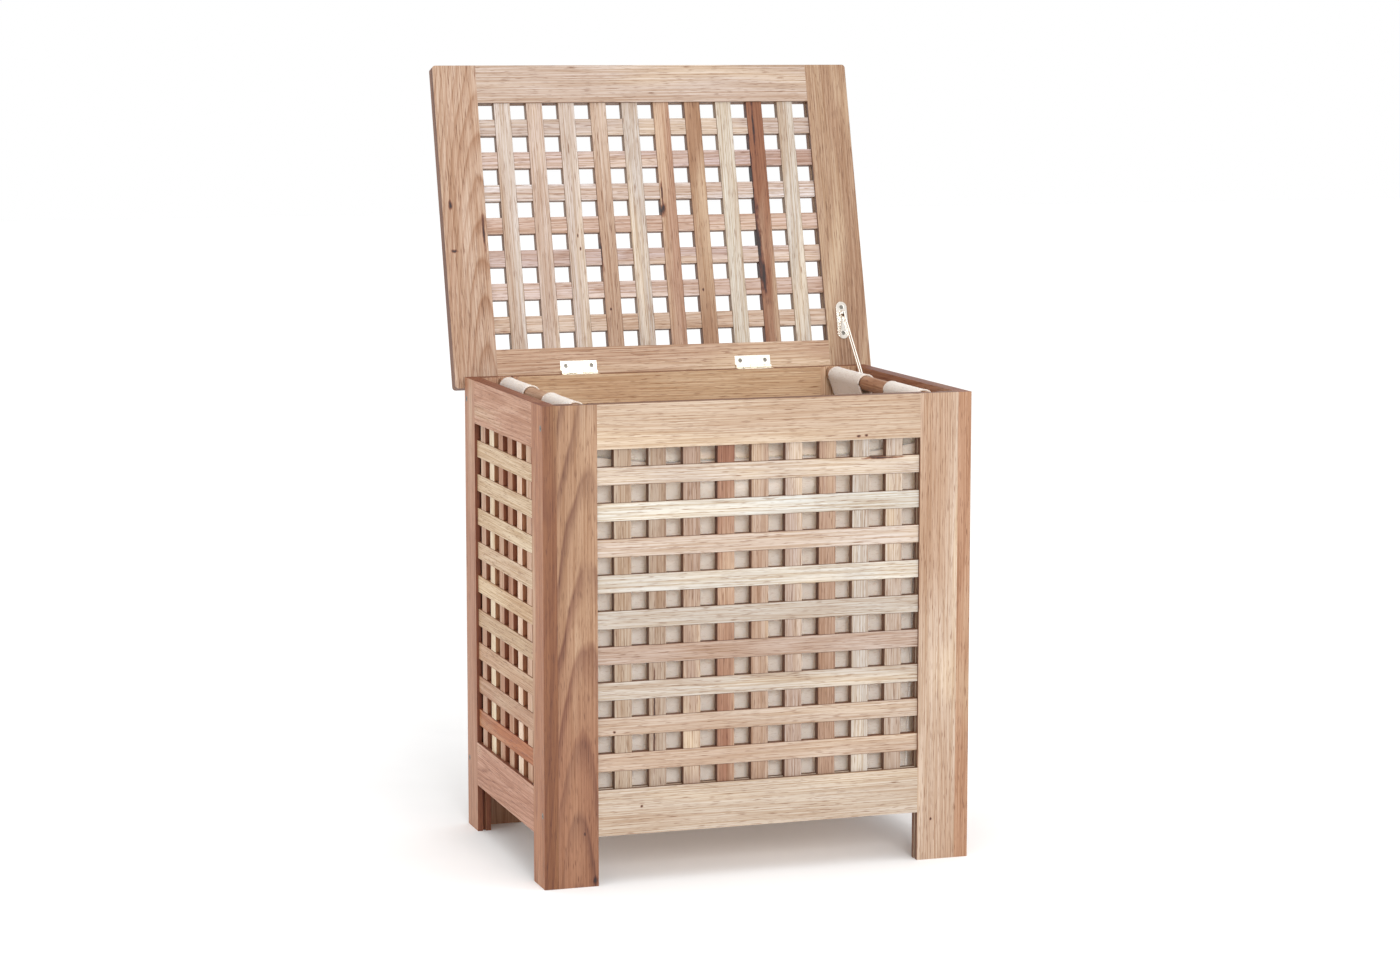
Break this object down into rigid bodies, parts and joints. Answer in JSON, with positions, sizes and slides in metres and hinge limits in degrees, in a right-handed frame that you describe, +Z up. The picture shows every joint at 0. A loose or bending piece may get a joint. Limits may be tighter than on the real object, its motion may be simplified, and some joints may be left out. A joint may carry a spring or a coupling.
{
  "type": "laundry hamper",
  "caption": "Slatted wooden laundry hamper on four corner legs, with a hinged lattice lid and a hanging canvas bag.",
  "frame": {"origin": "on the floor, in the middle of the bounding box of the hamper with its lid open", "axes": "+Z up, -Y towards the front, +X to the right seen from the front"},
  "size_m": [0.526, 0.457, 0.9022],
  "materials": {
    "frame_wood": "oiled light walnut, satin",
    "slat_wood": "oiled light walnut with sapwood, satin",
    "rod_wood": "turned hardwood, oiled",
    "hinge_nickel": "plated steel, satin",
    "stay_nickel": "polished nickel plate",
    "steel_screws": "dull zinc-plated steel",
    "canvas": "unbleached cotton canvas"
  },
  "bodies": {
    "chest": {"front_left_stile": "frame_wood", "front_right_stile": "frame_wood", "front_top_rail": "frame_wood", "front_bottom_rail": "frame_wood", "front_cross_slats": "slat_wood", "front_upright_slats": "slat_wood", "back_left_stile": "frame_wood", "back_right_stile": "frame_wood", "back_top_rail": "frame_wood", "back_bottom_rail": "frame_wood", "back_cross_slats": "slat_wood", "back_upright_slats": "slat_wood", "left_front_stile": "frame_wood", "left_rear_stile": "frame_wood", "left_top_rail": "frame_wood", "left_bottom_rail": "frame_wood", "left_cross_slats": "slat_wood", "left_upright_slats": "slat_wood", "right_front_stile": "frame_wood", "right_rear_stile": "frame_wood", "right_top_rail": "frame_wood", "right_bottom_rail": "frame_wood", "right_cross_slats": "slat_wood", "right_upright_slats": "slat_wood", "left_hinge_body_leaf": "hinge_nickel", "left_hinge_pin": "hinge_nickel", "right_hinge_body_leaf": "hinge_nickel", "right_hinge_pin": "hinge_nickel", "hinge_body_screws": "hinge_nickel", "stay_base_plate": "stay_nickel", "stay_base_pin": "stay_nickel", "stay_base_screws": "stay_nickel", "left_panel_screws": "steel_screws", "right_panel_screws": "steel_screws", "left_rod": "rod_wood", "right_rod": "rod_wood", "bag_front_panel": "canvas", "bag_back_panel": "canvas", "bag_left_panel": "canvas", "bag_right_panel": "canvas", "bag_base_panel": "canvas", "bag_left_loops": "canvas", "bag_right_loops": "canvas"},
    "lid": {"lid_left_stile": "frame_wood", "lid_right_stile": "frame_wood", "lid_front_rail": "frame_wood", "lid_hinge_rail": "frame_wood", "lid_cross_slats": "slat_wood", "lid_long_slats": "slat_wood", "left_hinge_lid_leaf": "hinge_nickel", "right_hinge_lid_leaf": "hinge_nickel", "hinge_lid_screws": "hinge_nickel", "stay_lid_bracket": "stay_nickel", "stay_lid_rivet": "stay_nickel", "stay_lid_screws": "stay_nickel"},
    "stay": {"stay_arm": "stay_nickel"}
  },
  "joints": [
    {"name": "lid_hinge", "type": "hinge", "parent": "chest", "child": "lid", "pos_m": [0, 0.11449, 0.5393], "axis": [1, 0, 0], "range_deg": [0, 105]},
    {"name": "stay_pivot", "type": "hinge", "parent": "lid", "child": "stay", "pos_m": [0.2302, 0.12599, 0.6004], "axis": [1, 0, 0], "range_deg": [-52.6, 0.1]}
  ],
  "couplings": [
    {"joint": "stay_pivot", "follows": "lid_hinge", "ratio": -0.5}
  ]
}
